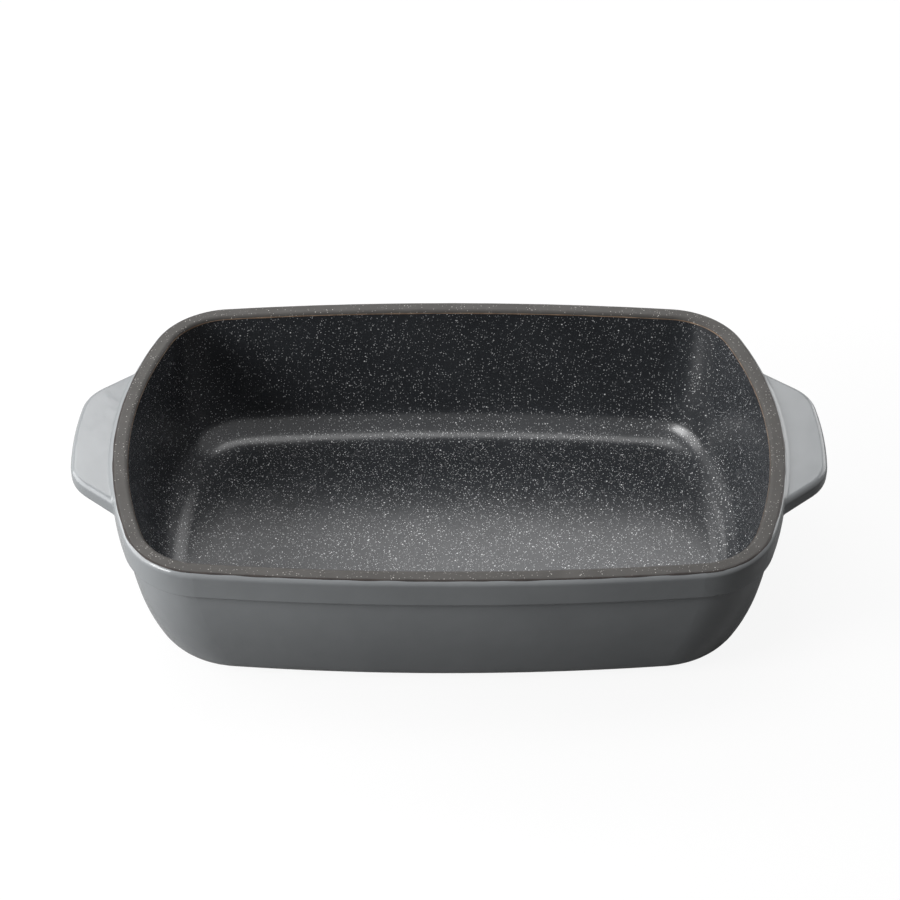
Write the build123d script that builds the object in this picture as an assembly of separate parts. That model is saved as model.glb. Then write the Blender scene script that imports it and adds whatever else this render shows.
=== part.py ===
from build123d import *

import os
from math import cos, hypot, radians, sin, sqrt, tan

# Lasagna dish: an oblong stoneware baking dish with a lug handle at each end, glazed grey outside and lined
# with a dark non-stick coat. Millimetres, +Z up, +X along the handles, origin under the middle of the foot.

# Body, measured over the glaze. Each side bows outwards and turns through the angle given, in degrees.
BODY_LENGTH = 333.0
BODY_WIDTH = 218.0
BODY_HEIGHT = 80.0
LONG_SIDE_TURN = 10.6
SHORT_SIDE_TURN = 40.4

# Rim band: the thick upright collar round the top.
BAND_HEIGHT = 15.4
BAND_STEP = 3.0
BAND_CORNER = 41.5
BAND_FOOT_ROUND = 1.5
BAND_FOOT_FLAT = 0.2
SHOULDER_ROUND = 3.0
RIM_WIDTH = 8.8
RIM_INNER_ROUND = 1.8

# Wall under the band: it bulges, leans in towards the base and turns under with one round edge.
WALL_MIDDLE_INSET = 6.2
WALL_BASE_INSET = 15.0
WALL_BASE_CORNER = 47.0
WALL_THICKNESS = 6.0
BASE_ROUND = 15.6
FLOOR_THICKNESS = 6.0
FLOOR_ROUND = 18.0

# Bare foot ring under the base.
FOOT_HEIGHT = 1.0
FOOT_WIDTH = 6.0
FOOT_INSET = 29.0

# Lug handles: flat plates that narrow to a bowed tip with round corners.
HANDLE_REACH = 19.5
HANDLE_BOW = 2.6
HANDLE_ROOT_WIDTH = 97.0
HANDLE_TIP_WIDTH = 64.4
HANDLE_CORNER = 24.0
HANDLE_DROP = 2.0
HANDLE_THICKNESS = 9.2
HANDLE_UNDERSIDE_FALL = 0.5
HANDLE_TOP_ROUND = 2.8
HANDLE_LOWER_ROUND = 3.0
HANDLE_ROOT_ROUND = 2.0

# Fired layers. The rim coat stops this far inside the band's face.
GLAZE_THICKNESS = 0.4
COAT_THICKNESS = 0.4
RIM_COAT_INSET = 1.8

# How far cutting shapes run past what they cut.
OVERRUN = 5.0

UP = (0, 0, 1)
BAND_HOLLOW_ROUND = BAND_STEP - BAND_FOOT_ROUND - BAND_FOOT_FLAT
HALF_LENGTH = BODY_LENGTH / 2
HALF_WIDTH = BODY_WIDTH / 2
BAND_FOOT = BODY_HEIGHT - BAND_HEIGHT
WALL_HEIGHT = BAND_FOOT - FOOT_HEIGHT
FLOOR_LEVEL = FOOT_HEIGHT + FLOOR_THICKNESS
LUG_ROOT = HALF_LENGTH - RIM_WIDTH - OVERRUN
LONG_HALF_TURN = radians(LONG_SIDE_TURN) / 2
SHORT_HALF_TURN = radians(SHORT_SIDE_TURN) / 2


def corner_centre(inset, corner):
    """Centre of the +X +Y corner's arc, placed so that the bows of both sides run into it."""
    length = HALF_LENGTH - inset - corner
    width = HALF_WIDTH - inset - corner
    long_share = tan(LONG_HALF_TURN / 2)
    short_share = tan(SHORT_HALF_TURN / 2)
    centre_x = (length - short_share * width) / (1 - long_share * short_share)
    return centre_x, width - long_share * centre_x


def plan_face(inset, corner, level):
    """Dish outline at one level: four bowed sides and four corners, all arcs tangent to each other."""
    centre_x, centre_y = corner_centre(inset, corner)

    def on_corner(angle):
        return centre_x + corner * cos(angle), centre_y + corner * sin(angle)

    corner_top = radians(90) - LONG_HALF_TURN
    x1, y1 = on_corner(corner_top)
    xm, ym = on_corner((corner_top + SHORT_HALF_TURN) / 2)
    x2, y2 = on_corner(SHORT_HALF_TURN)
    end = HALF_LENGTH - inset
    side = HALF_WIDTH - inset
    arcs = [
        ThreePointArc((x2, -y2), (end, 0), (x2, y2)),
        ThreePointArc((x2, y2), (xm, ym), (x1, y1)),
        ThreePointArc((x1, y1), (0, side), (-x1, y1)),
        ThreePointArc((-x1, y1), (-xm, ym), (-x2, y2)),
        ThreePointArc((-x2, y2), (-end, 0), (-x2, -y2)),
        ThreePointArc((-x2, -y2), (-xm, -ym), (-x1, -y1)),
        ThreePointArc((-x1, -y1), (0, -side), (x1, -y1)),
        ThreePointArc((x1, -y1), (xm, -ym), (x2, -y2)),
    ]
    return Plane.XY.offset(level) * Face(Wire(arcs))


def band_face(inset, level):
    """Outline parallel to the face of the rim band."""
    return plan_face(inset, BAND_CORNER - inset, level)


def base_face(inset, level):
    """Outline parallel to the edge of the base."""
    return plan_face(inset, WALL_BASE_CORNER + WALL_BASE_INSET - inset, level)


def wall_face(inset, level):
    """Outline of the wall at one level, moved in by inset: it follows a bulge set at the foot of the band, in
    the middle and at the base, and its corners widen on the way down."""
    depth = (BAND_FOOT - level) / WALL_HEIGHT
    bulge = 2 * (WALL_BASE_INSET - 2 * WALL_MIDDLE_INSET + BAND_STEP)
    slope = WALL_BASE_INSET - BAND_STEP - bulge
    wall_inset = BAND_STEP + slope * depth + bulge * depth * depth
    top_corner = BAND_CORNER - BAND_STEP
    corner = top_corner + (WALL_BASE_CORNER - top_corner) * depth
    return plan_face(wall_inset + inset, corner - inset, level)


def edges_at(shape, level):
    """The edges that lie nearest to one level, all along."""
    return shape.edges().group_by(lambda edge: abs(edge.bounding_box().max.Z - level)
                                  + abs(edge.bounding_box().min.Z - level))[0]


def own_edges(shape, wanted):
    """The edges of a shape that are the wanted ones."""
    return ShapeList(edge for edge in shape.edges() if any(edge.is_same(other) for other in wanted))


def band_form(inset):
    """The rim band, closed, with its shoulder and its foot rounded, moved in by inset all over."""
    top = BODY_HEIGHT - inset
    foot = BAND_FOOT + inset
    band = extrude(band_face(inset, foot), top - foot, dir=UP)
    band = fillet(edges_at(band, top), SHOULDER_ROUND - inset)
    return fillet(edges_at(band, foot), BAND_FOOT_ROUND - inset)


def vessel_form(inset):
    """Closed outer form of the dish without handles, moved in by inset all over. A hollow curve leads from the
    foot of the band into the wall."""
    band_foot = BAND_FOOT + inset
    base = FOOT_HEIGHT + inset
    band = band_form(inset)
    levels = [base, (base + band_foot) / 2, band_foot + BAND_FOOT_ROUND]
    wall = loft([wall_face(inset, level) for level in levels])
    wall = fillet(edges_at(wall, base), BASE_ROUND - inset)
    form = band + wall
    return fillet(new_edges(band, wall, combined=form), BAND_HOLLOW_ROUND + inset)


def inside_form(growth):
    """The space inside the dish, open at the top and grown all over."""
    floor = FLOOR_LEVEL - growth
    space = loft([
        wall_face(WALL_THICKNESS - growth, floor),
        wall_face(WALL_THICKNESS - growth, FOOT_HEIGHT + WALL_HEIGHT / 2),
        wall_face(WALL_THICKNESS - growth, BAND_FOOT),
        band_face(RIM_WIDTH - growth, BODY_HEIGHT + OVERRUN),
    ])
    return fillet(edges_at(space, floor), FLOOR_ROUND + growth)


def lug_outline(inset):
    """The lug from above: straight flanks that narrow to a bowed tip with round corners."""
    flank_slope = (HANDLE_ROOT_WIDTH - HANDLE_TIP_WIDTH) / 2 / HANDLE_REACH
    tip = HALF_LENGTH + HANDLE_REACH - HANDLE_BOW - inset
    tip_half = HANDLE_TIP_WIDTH / 2 - inset * (hypot(1, flank_slope) - flank_slope)
    root_half = tip_half + flank_slope * (tip - LUG_ROOT)
    outline = Face(Wire([
        Line((LUG_ROOT, -root_half), (tip, -tip_half)),
        ThreePointArc((tip, -tip_half), (tip + HANDLE_BOW, 0), (tip, tip_half)),
        Line((tip, tip_half), (LUG_ROOT, root_half)),
        Line((LUG_ROOT, root_half), (LUG_ROOT, -root_half)),
    ]))
    return outline.fillet_2d(HANDLE_CORNER - inset, outline.vertices().group_by(Axis.X)[-1])


def lug_form(inset):
    """Closed form of the lug at the +X end, moved in by inset all over, with its root inside the wall."""
    past_tip = HALF_LENGTH + HANDLE_REACH + OVERRUN
    top = BODY_HEIGHT - HANDLE_DROP - inset
    fall = HANDLE_UNDERSIDE_FALL / HANDLE_REACH
    tip_under = BODY_HEIGHT - HANDLE_DROP - HANDLE_THICKNESS + inset
    root_under = tip_under - fall * (HALF_LENGTH + HANDLE_REACH - LUG_ROOT)
    side_view = Polyline((LUG_ROOT, root_under), (past_tip, tip_under + fall * OVERRUN), (past_tip, top),
                         (LUG_ROOT, top), close=True)
    plate = extrude(Plane.XZ * Face(Wire(side_view)), HALF_WIDTH, both=True)
    column = extrude(Plane.XY.offset(root_under - OVERRUN) * lug_outline(inset), BODY_HEIGHT, dir=UP)
    lug = plate & column
    lug = fillet([edge for edge in edges_at(lug, top) if edge.center().X > LUG_ROOT + OVERRUN],
                 HANDLE_TOP_ROUND - inset)
    underside = lug.faces().sort_by(Axis.Z)[0]
    rims = [edge for edge in underside.edges() if edge.center().X > LUG_ROOT + OVERRUN]
    return fillet(own_edges(lug, rims), HANDLE_LOWER_ROUND - inset)


def band_end(inset):
    """The +X end of the rim band, which a lug grows out of."""
    return split(band_form(inset), Plane.YZ.offset(LUG_ROOT - OVERRUN), keep=Keep.TOP)


def lugged_end(inset):
    """The end of the band with its lug, and a soft hollow curve all round the lug's root."""
    band = band_end(inset)
    lug = lug_form(inset)
    joined = band + lug
    return fillet(new_edges(band, lug, combined=joined), HANDLE_ROOT_ROUND + inset)


def opened(form, growth):
    """A closed form with the inside taken out and the inner edge of the rim rounded."""
    space = inside_form(growth)
    hollow = form - space
    return fillet(new_edges(form, space, combined=hollow), RIM_INNER_ROUND - growth)


def foot_ring():
    """The bare ring that the dish stands on, with its root inside the floor."""
    ring = base_face(FOOT_INSET, 0) - base_face(FOOT_INSET + FOOT_WIDTH, 0)
    return extrude(ring, FOOT_HEIGHT + FLOOR_THICKNESS / 2, dir=UP)


def clay_parts():
    """The fired clay: the body, and the two lugs that are luted to its band."""
    handle = lugged_end(GLAZE_THICKNESS) - band_end(GLAZE_THICKNESS)
    return {
        "stoneware_body": opened(vessel_form(GLAZE_THICKNESS), COAT_THICKNESS) + foot_ring(),
        "handle_right": handle,
        "handle_left": mirror(handle, about=Plane.YZ),
    }


def lugged_form(inset):
    """The closed form of the dish with both lugs."""
    end = lugged_end(inset)
    return end + (mirror(end, about=Plane.YZ) + vessel_form(inset))


def rim_coat_zone():
    """The space that the rim coat takes: inside the line on the shoulder where it ends, and above the level
    where the rim's inner edge begins to round."""
    reach = SHOULDER_ROUND - RIM_COAT_INSET
    line = BODY_HEIGHT - SHOULDER_ROUND + sqrt(SHOULDER_ROUND ** 2 - reach ** 2)
    outline = split(band_form(0), Plane.XY.offset(line), keep=Keep.TOP).faces().sort_by(Axis.Z)[0]
    return extrude(Pos(0, 0, BODY_HEIGHT - RIM_INNER_ROUND - line) * outline, OVERRUN, dir=UP)


def layer_parts():
    """The fired layers: what lies between the clay and the finished surface. The rim coat takes the top of
    the rim, and what is left falls into the outer glaze, the inner coat and the glaze inside the foot ring."""
    finished = opened(lugged_form(0), 0)
    clay = opened(lugged_form(GLAZE_THICKNESS), COAT_THICKNESS) + foot_ring()
    rim_zone = rim_coat_zone()
    layers = finished - clay
    outer, inner, base = (layers - rim_zone).solids().sort_by(lambda solid: solid.bounding_box().size.X)[::-1]
    return {
        "outer_glaze": outer,
        "base_glaze": base,
        "inner_coating": inner,
        "rim_coating": layers & rim_zone,
    }


os.makedirs("parts", exist_ok=True)
for name, shape in {**clay_parts(), **layer_parts()}.items():
    export_step(shape, f"parts/{name}.step")
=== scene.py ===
from math import asin, cos, pi, radians, sin, tan
from random import Random

import bpy
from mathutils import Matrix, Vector


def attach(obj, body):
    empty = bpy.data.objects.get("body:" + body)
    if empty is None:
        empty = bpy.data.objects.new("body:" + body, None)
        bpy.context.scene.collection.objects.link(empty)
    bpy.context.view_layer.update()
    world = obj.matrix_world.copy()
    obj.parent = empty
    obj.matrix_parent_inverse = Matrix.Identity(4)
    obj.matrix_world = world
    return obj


# Lasagna dish in grey glazed stoneware with a dark speckled coat inside.
# Metres, in the frame of the CAD, where nothing else is said.

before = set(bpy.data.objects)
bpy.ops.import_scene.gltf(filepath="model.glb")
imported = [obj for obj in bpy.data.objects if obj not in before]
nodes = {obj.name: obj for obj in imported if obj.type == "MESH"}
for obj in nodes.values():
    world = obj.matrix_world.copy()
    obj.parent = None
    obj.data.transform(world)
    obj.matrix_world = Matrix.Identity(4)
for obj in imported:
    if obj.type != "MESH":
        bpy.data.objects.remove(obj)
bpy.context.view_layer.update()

MM = 0.001
FULL_TURN = 2 * pi

# Camera: it stands in front of the dish and looks down on it. Pitch in degrees, lens and sensor in
# millimetres, and a shift of one pixel in a picture that is 900 wide.
CAMERA_PLACE = (0.0, -0.8416, 0.774)
CAMERA_PITCH = 40
CAMERA_LENS = 88.19
CAMERA_SENSOR = 36
CAMERA_SHIFT_X = 1 / 900

# The rim band's plan, its shoulder and the rim coat's edges, as in the CAD. Millimetres and degrees.
DISH_LENGTH = 333.0
DISH_WIDTH = 218.0
DISH_HEIGHT = 80.0
LONG_SIDE_TURN = 10.6
SHORT_SIDE_TURN = 40.4
BAND_CORNER = 41.5
SHOULDER_ROUND = 3.0
RIM_WIDTH = 8.8
RIM_INNER_ROUND = 1.8
RIM_COAT_INSET = 1.8

# The plan's outline is cut into steps about this long, in millimetres, and each arc into so many at least.
OUTLINE_STEP = 0.75
OUTLINE_FEWEST_STEPS = 8

# The fine beads at both edges of the rim coat. Their width wavers by a few slow waves. Millimetres.
OUTER_SEAM_WIDTH = 1.0
OUTER_SEAM_SEED = 3
INNER_SEAM_WIDTH = 0.6
INNER_SEAM_SEED = 5
SEAM_PROUD = 0.04
SEAM_SUNK = 0.06
SEAM_WAVES = 6
SEAM_WAVE_COUNTS = (9, 60)
SEAM_WAVE_SHARES = (0.05, 0.14)
SEAM_SHOULDER_SHARE = 0.6

# Floor: a little under white near the dish, for its shadow, and full white from where the fade ends.
FLOOR_SIZE = 24.0
FLOOR_DROP = 0.05 * MM
FLOOR_WHITE_SHARE = 0.9
FLOOR_COLOUR = (0.92, 0.92, 0.92, 1)
# In reflections the floor is painted grey near the dish, a painted shade around it, and turns white where
# the fade ends.
FLOOR_MIRRORED_COLOUR_SHARE = 0.3
FLOOR_FADE_START = 0.35
FLOOR_FADE_END = 1.2
FLOOR_BOUNCE_COLOUR = (0.1, 0.1, 0.1, 1)
FLOOR_ROUGHNESS = 0.9

# World: white where it is seen, and dimmer as a light.
WORLD_COLOUR = (1, 1, 1, 1)
WORLD_FILL = 0.09

# Softboxes: name, middle, point aimed at, width, height, brightness. A brightness of 1 shows as white.
SOFTBOXES = [
    ("top", (-0.05, 0.20, 1.25), (0, 0, 0), 1.2, 0.45, 3.5),
    ("rear", (0.15, 1.10, 1.00), (0, 0, 0.05), 0.6, 0.8, 2.5),
    ("rear_left", (-0.58, 0.82, 0.95), (-0.05, 0, 0.05), 0.62, 0.5, 4.2),
    ("left", (-1.10, 0.05, 0.44), (0, 0, 0.06), 1.0, 0.85, 4.8),
    ("key", (-0.93, -0.54, 0.57), (0, 0, 0.05), 0.42, 0.5, 16.0),
    ("right_fill", (1.00, 0.85, 0.50), (0, 0, 0.05), 0.8, 0.8, 3.0),
]

# Specks: the turn of the cells that place them, off every flat side of the dish, in radians. The smallest
# speck and the faintest one as shares of the largest and the brightest, and a speck's soft edge as a share
# of its radius.
SPECK_CELLS_TURN = (0.53, 0.37, 0.71)
SPECK_SMALLEST_SHARE = 0.45
SPECK_FAINTEST_SHARE = 0.45
SPECK_SOFT_EDGE_SHARE = 0.35

# How much of their own colour the glaze's pinholes and the clay's dark grog show.
PINHOLE_STRENGTH = 0.35
GROG_STRENGTH = 0.6

# The stretches of noise that clouds and uneven roughness are made of. The rest is held at their ends.
CLOUD_STRETCH = (0.35, 0.65)
SHEEN_STRETCH = (0.3, 0.7)

# The inner coat's specks grow fewer between these two heights, from the floor up to the walls.
COAT_FLOOR_HEIGHT = 8 * MM
COAT_WALL_HEIGHT = 24 * MM
COAT_FLOOR_SPECK_CHANCE = 0.7
COAT_WALL_SPECK_CHANCE = 0.42


def linear(red, green, blue):
    """Linear colour of an sRGB colour given from 0 to 255."""
    def channel(value):
        share = value / 255
        return share / 12.92 if share <= 0.04045 else ((share + 0.055) / 1.055) ** 2.4
    return channel(red), channel(green), channel(blue), 1.0


def add_object(name, data):
    """New object in the scene."""
    thing = bpy.data.objects.new(name, data)
    bpy.context.scene.collection.objects.link(thing)
    return thing


class Finish:
    """A material and its node tree, with short calls for the nodes that the finishes share."""

    def __init__(self, name):
        self.material = bpy.data.materials.new(name)
        self.material.use_nodes = True
        self.tree = self.material.node_tree
        self.shader = self.tree.nodes["Principled BSDF"]
        self.place = self.add("ShaderNodeTexCoord").outputs["Object"]

    def add(self, kind, **settings):
        """New node with its settings."""
        node = self.tree.nodes.new(kind)
        for key, value in settings.items():
            setattr(node, key, value)
        return node

    def put(self, value, socket):
        """Links a socket, or sets a plain value."""
        if isinstance(value, bpy.types.NodeSocket):
            self.tree.links.new(value, socket)
        else:
            socket.default_value = value

    def work_out(self, operation, first, second):
        """Result of a sum with two values."""
        node = self.add("ShaderNodeMath", operation=operation)
        self.put(first, node.inputs[0])
        self.put(second, node.inputs[1])
        return node.outputs[0]

    def mix(self, share, first, second):
        """Colour that goes from the first to the second as the share grows."""
        node = self.add("ShaderNodeMix", data_type="RGBA")
        self.put(share, node.inputs["Factor"])
        self.put(first, node.inputs["A"])
        self.put(second, node.inputs["B"])
        return node.outputs["Result"]

    def spread(self, value, low, high, to_low=0.0, to_high=1.0):
        """Maps the stretch from low to high on to another one, and holds it there."""
        node = self.add("ShaderNodeMapRange")
        self.put(value, node.inputs["Value"])
        self.put(low, node.inputs["From Min"])
        self.put(high, node.inputs["From Max"])
        self.put(to_low, node.inputs["To Min"])
        self.put(to_high, node.inputs["To Max"])
        return node.outputs["Result"]

    def noise(self, size, detail=2.0, roughness=0.5):
        """Soft noise with features about as large as size."""
        node = self.add("ShaderNodeTexNoise")
        self.put(self.place, node.inputs["Vector"])
        self.put(1 / size, node.inputs["Scale"])
        self.put(detail, node.inputs["Detail"])
        self.put(roughness, node.inputs["Roughness"])
        return node.outputs["Fac"]

    def clouds(self, size, first, second, detail=3.0):
        """Colour that drifts between two others."""
        return self.mix(self.spread(self.noise(size, detail), *CLOUD_STRETCH), first, second)

    def uneven(self, size, low, high):
        """Roughness that drifts between two values."""
        return self.spread(self.noise(size), *SHEEN_STRETCH, low, high)

    def height(self):
        """Height over the table."""
        node = self.add("ShaderNodeSeparateXYZ")
        self.put(self.place, node.inputs["Vector"])
        return node.outputs["Z"]

    def specks(self, cell, radius, chance):
        """Round specks of many sizes, one at most in each cell: up to 1 inside and 0 outside."""
        turned = self.add("ShaderNodeMapping")
        self.put(self.place, turned.inputs["Vector"])
        self.put(SPECK_CELLS_TURN, turned.inputs["Rotation"])
        cells = self.add("ShaderNodeTexVoronoi")
        self.put(turned.outputs["Vector"], cells.inputs["Vector"])
        self.put(1 / cell, cells.inputs["Scale"])
        dice = self.add("ShaderNodeSeparateColor")
        self.put(cells.outputs["Color"], dice.inputs["Color"])
        largest = radius / cell
        reach = self.spread(dice.outputs["Red"], 0.0, 1.0, SPECK_SMALLEST_SHARE * largest, largest)
        core = self.work_out("MULTIPLY", reach, 1 - SPECK_SOFT_EDGE_SHARE)
        disc = self.spread(cells.outputs["Distance"], reach, core)
        there = self.work_out("LESS_THAN", dice.outputs["Green"], chance)
        glint = self.work_out("MULTIPLY", dice.outputs["Blue"], dice.outputs["Blue"])
        strength = self.spread(glint, 0.0, 1.0, SPECK_FAINTEST_SHARE, 1.0)
        return self.work_out("MULTIPLY", self.work_out("MULTIPLY", disc, there), strength)

    def bump(self, height, depth):
        """Bumps of a real depth."""
        node = self.add("ShaderNodeBump")
        self.put(depth, node.inputs["Distance"])
        self.put(height, node.inputs["Height"])
        self.put(node.outputs["Normal"], self.shader.inputs["Normal"])

    def surface(self, colour, roughness, ior=1.5, specular=0.5):
        """Colour, roughness and shine of the material."""
        self.put(colour, self.shader.inputs["Base Color"])
        self.put(roughness, self.shader.inputs["Roughness"])
        self.put(ior, self.shader.inputs["IOR"])
        self.put(specular, self.shader.inputs["Specular IOR Level"])


def grey_glaze():
    """Cool grey glossy glaze: faint clouds where it is thicker, a slight orange peel and a few pinholes."""
    finish = Finish("grey_glaze")
    colour = finish.clouds(size=45 * MM, first=linear(124, 127, 129), second=linear(131, 134, 136))
    pinholes = finish.specks(cell=3.2 * MM, radius=0.22 * MM, chance=0.5)
    faint_pinholes = finish.work_out("MULTIPLY", pinholes, PINHOLE_STRENGTH)
    colour = finish.mix(faint_pinholes, colour, linear(84, 84, 82))
    finish.surface(colour, finish.uneven(size=12 * MM, low=0.13, high=0.19), ior=1.45)
    finish.bump(finish.noise(size=7 * MM), depth=0.10 * MM)
    return finish.material


def dark_coat():
    """Charcoal non-stick coat: pale specks of three sizes under a glossy skin."""
    finish = Finish("dark_coat")
    colour = finish.clouds(size=30 * MM, first=linear(37, 39, 42), second=linear(43, 45, 48))
    chance = finish.spread(
        finish.height(),
        COAT_FLOOR_HEIGHT,
        COAT_WALL_HEIGHT,
        COAT_FLOOR_SPECK_CHANCE,
        COAT_WALL_SPECK_CHANCE,
    )
    dust = finish.specks(cell=0.5 * MM, radius=0.18 * MM, chance=0.8)
    colour = finish.mix(dust, colour, linear(92, 95, 99))
    grains = finish.specks(cell=0.85 * MM, radius=0.3 * MM, chance=chance)
    colour = finish.mix(grains, colour, linear(238, 240, 241))
    flakes = finish.specks(cell=2.3 * MM, radius=0.5 * MM, chance=chance)
    colour = finish.mix(flakes, colour, linear(246, 247, 248))
    finish.surface(colour, finish.uneven(size=9 * MM, low=0.22, high=0.28))
    finish.bump(finish.noise(size=2.5 * MM), depth=0.02 * MM)
    return finish.material


def rim_coat():
    """Taupe satin coat on the rim with faint pale specks."""
    finish = Finish("rim_coat")
    colour = finish.clouds(size=14 * MM, first=linear(67, 65, 63), second=linear(74, 72, 70))
    grains = finish.specks(cell=1.2 * MM, radius=0.32 * MM, chance=0.7)
    colour = finish.mix(grains, colour, linear(206, 203, 198))
    finish.surface(colour, finish.uneven(size=6 * MM, low=0.46, high=0.54), specular=0.18)
    finish.bump(finish.noise(size=6 * MM), depth=0.02 * MM)
    return finish.material


def bare_clay():
    """Bare fired stoneware: warm buff, matt, gritty, with dark grog."""
    finish = Finish("bare_clay")
    buff, pale_buff = linear(196, 184, 166), linear(208, 198, 181)
    colour = finish.clouds(size=8 * MM, first=buff, second=pale_buff, detail=4.0)
    grog = finish.specks(cell=1.4 * MM, radius=0.26 * MM, chance=0.6)
    faint_grog = finish.work_out("MULTIPLY", grog, GROG_STRENGTH)
    colour = finish.mix(faint_grog, colour, linear(128, 112, 92))
    finish.surface(colour, roughness=0.78)
    finish.bump(finish.noise(size=0.6 * MM, detail=4.0, roughness=0.7), depth=0.08 * MM)
    return finish.material


def seam_line(name, first, second, sparks):
    """Thin line where two coats meet: dark on the shoulder, copper-brown where the rim turns into the
    hollow.
    """
    finish = Finish(name)
    colour = finish.clouds(size=5 * MM, first=first, second=second)
    if sparks:
        dots = finish.specks(cell=1.3 * MM, radius=0.34 * MM, chance=0.7)
        colour = finish.mix(dots, colour, linear(206, 196, 182))
    finish.surface(colour, finish.uneven(size=3 * MM, low=0.42, high=0.5), specular=0.25)
    return finish.material


def band_outline(inset):
    """Points and outward normals along the rim band's outline in plan, moved in by inset. Millimetres."""
    long_half = radians(LONG_SIDE_TURN) / 2
    short_half = radians(SHORT_SIDE_TURN) / 2
    across = DISH_LENGTH / 2 - BAND_CORNER
    deep = DISH_WIDTH / 2 - BAND_CORNER
    long_slope = tan(long_half / 2)
    short_slope = tan(short_half / 2)
    corner_x = (across - short_slope * deep) / (1 - long_slope * short_slope)
    corner_y = deep - long_slope * corner_x
    short_radius = BAND_CORNER + corner_y / sin(short_half)
    long_radius = BAND_CORNER + corner_x / sin(long_half)
    end_x = DISH_LENGTH / 2 - short_radius
    side_y = DISH_WIDTH / 2 - long_radius
    arcs = [
        (end_x, 0, short_radius, -short_half, short_half),
        (corner_x, corner_y, BAND_CORNER, short_half, pi / 2 - long_half),
        (0, side_y, long_radius, pi / 2 - long_half, pi / 2 + long_half),
        (-corner_x, corner_y, BAND_CORNER, pi / 2 + long_half, pi - short_half),
        (-end_x, 0, short_radius, pi - short_half, pi + short_half),
        (-corner_x, -corner_y, BAND_CORNER, pi + short_half, 3 * pi / 2 - long_half),
        (0, -side_y, long_radius, 3 * pi / 2 - long_half, 3 * pi / 2 + long_half),
        (corner_x, -corner_y, BAND_CORNER, 3 * pi / 2 + long_half, FULL_TURN - short_half),
    ]
    points = []
    for middle_x, middle_y, radius, start, end in arcs:
        reach = radius - inset
        steps = max(OUTLINE_FEWEST_STEPS, round(reach * (end - start) / OUTLINE_STEP))
        for index in range(steps):
            angle = start + (end - start) * index / steps
            normal_x, normal_y = cos(angle), sin(angle)
            points.append((middle_x + reach * normal_x, middle_y + reach * normal_y, normal_x, normal_y))
    return points


def add_seam(name, inset, level, tilt, width, material, seed):
    """Closed flat bead along the rim. Its middle is at the inset and level given, it leans outward by tilt,
    and its width wavers a little. Millimetres."""
    dice = Random(seed)
    waves = [
        (dice.randint(*SEAM_WAVE_COUNTS), dice.uniform(0, FULL_TURN), dice.uniform(*SEAM_WAVE_SHARES))
        for _ in range(SEAM_WAVES)
    ]
    across = (sin(tilt), cos(tilt))
    outward = (cos(tilt), -sin(tilt))
    section = [
        (-1.0, -SEAM_SUNK),
        (-SEAM_SHOULDER_SHARE, SEAM_SHOULDER_SHARE * SEAM_PROUD),
        (0.0, SEAM_PROUD),
        (SEAM_SHOULDER_SHARE, SEAM_SHOULDER_SHARE * SEAM_PROUD),
        (1.0, -SEAM_SUNK),
    ]
    outline = band_outline(inset)
    verts = []
    for index, (x, y, normal_x, normal_y) in enumerate(outline):
        turn = FULL_TURN * index / len(outline)
        half = width / 2 * (1 + sum(share * sin(count * turn + phase) for count, phase, share in waves))
        for side, lift in section:
            out = side * half * outward[0] + lift * across[0]
            up = side * half * outward[1] + lift * across[1]
            verts.append(((x + out * normal_x) * MM, (y + out * normal_y) * MM, (level + up) * MM))
    size = len(section)
    faces = []
    for index in range(len(outline)):
        here = index * size
        there = (index + 1) % len(outline) * size
        for spot in range(size):
            after = (spot + 1) % size
            faces.append((here + spot, here + after, there + after, there + spot))
    mesh = bpy.data.meshes.new(name)
    mesh.from_pydata(verts, [], faces)
    mesh.materials.append(material)
    seam = add_object(name, mesh)
    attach(seam, "root")


def add_seams():
    """The dark line on the shoulder and the copper-brown one where the rim turns into the hollow."""
    dark = seam_line("dark_seam", linear(28, 23, 21), linear(44, 37, 34), sparks=False)
    copper = seam_line("copper_seam", linear(104, 84, 68), linear(140, 118, 98), sparks=True)
    tilt = asin((SHOULDER_ROUND - RIM_COAT_INSET) / SHOULDER_ROUND)
    add_seam(
        "rim_seam_outer",
        inset=RIM_COAT_INSET,
        level=DISH_HEIGHT - SHOULDER_ROUND * (1 - cos(tilt)),
        tilt=tilt,
        width=OUTER_SEAM_WIDTH,
        material=dark,
        seed=OUTER_SEAM_SEED,
    )
    add_seam(
        "rim_seam_inner",
        inset=RIM_WIDTH,
        level=DISH_HEIGHT - RIM_INNER_ROUND,
        tilt=-pi / 2,
        width=INNER_SEAM_WIDTH,
        material=copper,
        seed=INNER_SEAM_SEED,
    )


def dress(node_names, material):
    """Gives pieces of the CAD one finish."""
    for name in node_names:
        slots = nodes[name].data.materials
        slots.clear()
        slots.append(material)


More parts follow.
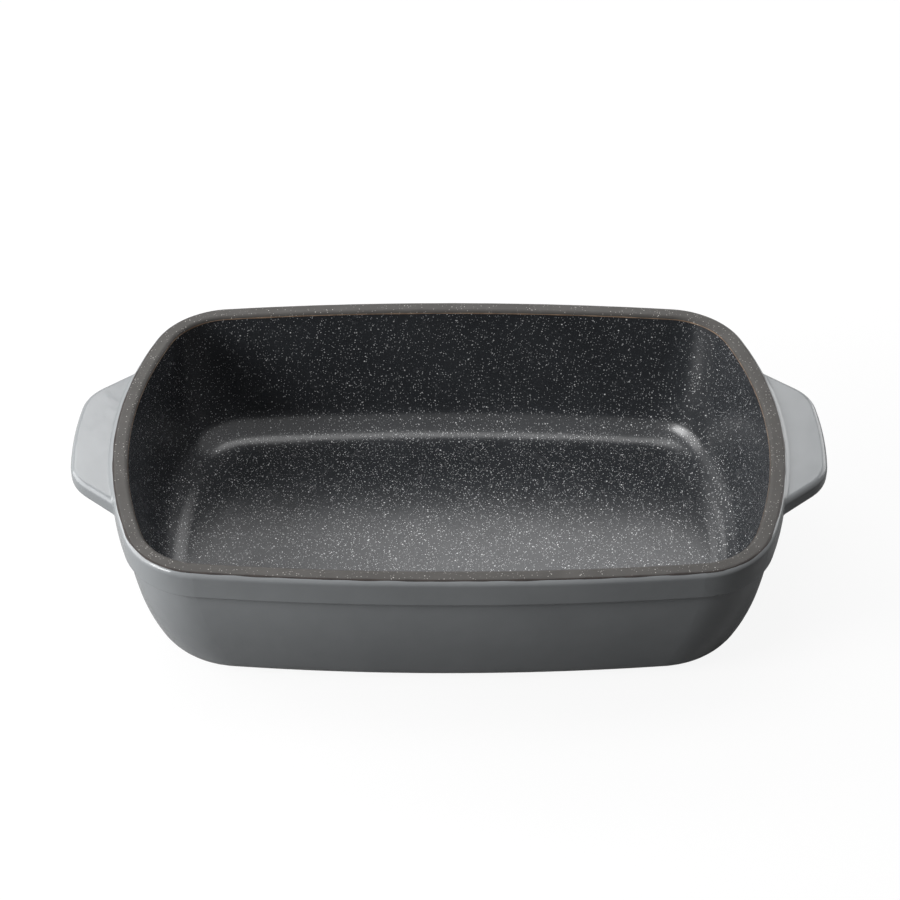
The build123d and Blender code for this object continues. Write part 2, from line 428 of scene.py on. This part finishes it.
def floor_finish():
    """White to the camera, but for the dish's shadow. In reflections it is white far from the dish and
    painted grey near it as painted shade around the dish, and it bounces little light, so that the foot of
    the wall stays dark."""
    finish = Finish("floor")
    path = finish.add("ShaderNodeLightPath")
    seen = path.outputs["Is Camera Ray"]
    glossy = path.outputs["Is Glossy Ray"]
    mirrored = finish.work_out("MAXIMUM", glossy, path.outputs["Is Transmission Ray"])
    mirrored_paleness = finish.work_out("MULTIPLY", mirrored, FLOOR_MIRRORED_COLOUR_SHARE)
    paleness = finish.work_out("MAXIMUM", seen, mirrored_paleness)
    colour = finish.mix(paleness, FLOOR_BOUNCE_COLOUR, FLOOR_COLOUR)
    finish.surface(colour, FLOOR_ROUGHNESS, specular=0.0)
    white = finish.add("ShaderNodeEmission")
    away = finish.add("ShaderNodeVectorMath", operation="LENGTH")
    finish.put(finish.place, away.inputs[0])
    distance = away.outputs["Value"]
    seen_white = finish.spread(distance, FLOOR_FADE_START, FLOOR_FADE_END, FLOOR_WHITE_SHARE, 1.0)
    # Painted shade: in reflections the floor has no white near the dish, and gains it only across the fade.
    mirrored_white_past_painted_shade = finish.spread(distance, FLOOR_FADE_START, FLOOR_FADE_END)
    white_share = finish.work_out(
        "MAXIMUM",
        finish.work_out("MULTIPLY", seen, seen_white),
        finish.work_out("MULTIPLY", mirrored, mirrored_white_past_painted_shade),
    )
    blend = finish.add("ShaderNodeMixShader")
    finish.put(white_share, blend.inputs[0])
    finish.put(finish.shader.outputs[0], blend.inputs[1])
    finish.put(white.outputs[0], blend.inputs[2])
    finish.put(blend.outputs[0], finish.tree.nodes["Material Output"].inputs["Surface"])
    return finish.material


def add_floor():
    half = FLOOR_SIZE / 2
    corners = [(-half, -half), (half, -half), (half, half), (-half, half)]
    mesh = bpy.data.meshes.new("floor")
    mesh.from_pydata([(x, y, -FLOOR_DROP) for x, y in corners], [], [(0, 1, 2, 3)])
    mesh.materials.append(floor_finish())
    floor = add_object("floor", mesh)


def add_world():
    """White to the camera, in reflections and through glass, and a faint even light on everything else."""
    world = bpy.data.worlds.new("studio")
    bpy.context.scene.world = world
    world.use_nodes = True
    tree = world.node_tree
    sky = tree.nodes["Background"]
    path = tree.nodes.new("ShaderNodeLightPath")
    seen = path.outputs["Is Camera Ray"]
    for kind in ("Is Glossy Ray", "Is Transmission Ray"):
        either = tree.nodes.new("ShaderNodeMath")
        either.operation = "MAXIMUM"
        tree.links.new(seen, either.inputs[0])
        tree.links.new(path.outputs[kind], either.inputs[1])
        seen = either.outputs[0]
    strength = tree.nodes.new("ShaderNodeMapRange")
    strength.inputs["To Min"].default_value = WORLD_FILL
    strength.inputs["To Max"].default_value = 1.0
    tree.links.new(seen, strength.inputs["Value"])
    tree.links.new(strength.outputs["Result"], sky.inputs["Strength"])
    sky.inputs["Color"].default_value = WORLD_COLOUR


def add_softboxes():
    for name, middle, aim, width, height, brightness in SOFTBOXES:
        lamp = bpy.data.lights.new(name, "AREA")
        lamp.shape = "RECTANGLE"
        lamp.size = width
        lamp.size_y = height
        lamp.energy = brightness * pi * width * height
        box = add_object(name, lamp)
        box.location = middle
        box.visible_camera = False
        box.rotation_euler = (Vector(aim) - Vector(middle)).to_track_quat("-Z", "Y").to_euler()


def add_camera():
    view = bpy.data.cameras.new("camera")
    view.lens = CAMERA_LENS
    view.sensor_width = CAMERA_SENSOR
    view.shift_x = CAMERA_SHIFT_X
    camera = add_object("camera", view)
    camera.location = CAMERA_PLACE
    camera.rotation_euler = (radians(90 - CAMERA_PITCH), 0, 0)
    bpy.context.scene.camera = camera


dress(["outer_glaze", "base_glaze"], grey_glaze())
dress(["inner_coating"], dark_coat())
dress(["rim_coating"], rim_coat())
dress(["stoneware_body", "handle_left", "handle_right"], bare_clay())
add_seams()
add_floor()
add_world()
add_softboxes()
add_camera()
bpy.context.scene.view_settings.view_transform = "Standard"
